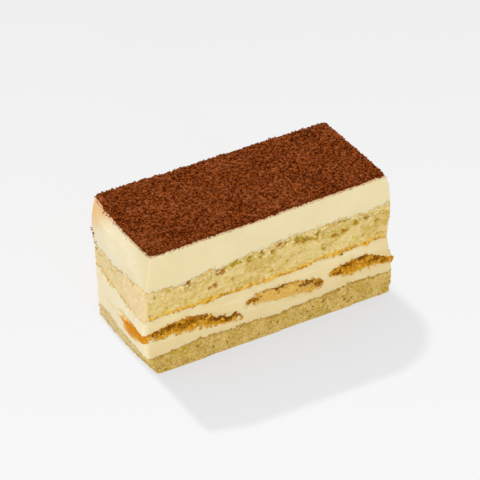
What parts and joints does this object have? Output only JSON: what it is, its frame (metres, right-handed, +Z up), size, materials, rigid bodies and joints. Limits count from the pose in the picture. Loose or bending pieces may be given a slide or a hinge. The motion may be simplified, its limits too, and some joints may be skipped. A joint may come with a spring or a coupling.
{
  "type": "tiramisu portion",
  "caption": "Straight-cut bar of tiramisu: sponge base, mascarpone cream round coffee-soaked ladyfingers, upper sponge, thick cream top, cocoa dusting.",
  "frame": {"origin": "bottom centre of the bar's box, on the surface it stands on", "axes": "+X along the bar's length, -Y the long face with the clean cut, +Z up"},
  "size_m": [0.0975, 0.0436, 0.0487],
  "materials": {
    "base_sponge": "moist golden sponge crumb, rough and pored",
    "upper_sponge": "pale sponge crumb, pored, torn at the top",
    "cream": "smooth satin cream, pale yellow",
    "soaked_biscuit": "coffee-soaked crumb with a dark brown crust",
    "cocoa": "matt, grainy cocoa powder, dark reddish brown"
  },
  "bodies": {
    "root": {"sponge_base": "base_sponge", "cream_filling": "cream", "ladyfinger_left": "soaked_biscuit", "ladyfinger_middle": "soaked_biscuit", "ladyfinger_right": "soaked_biscuit", "sponge_upper": "upper_sponge", "cream_top": "cream", "cocoa_dusting": "cocoa"}
  },
  "joints": []
}
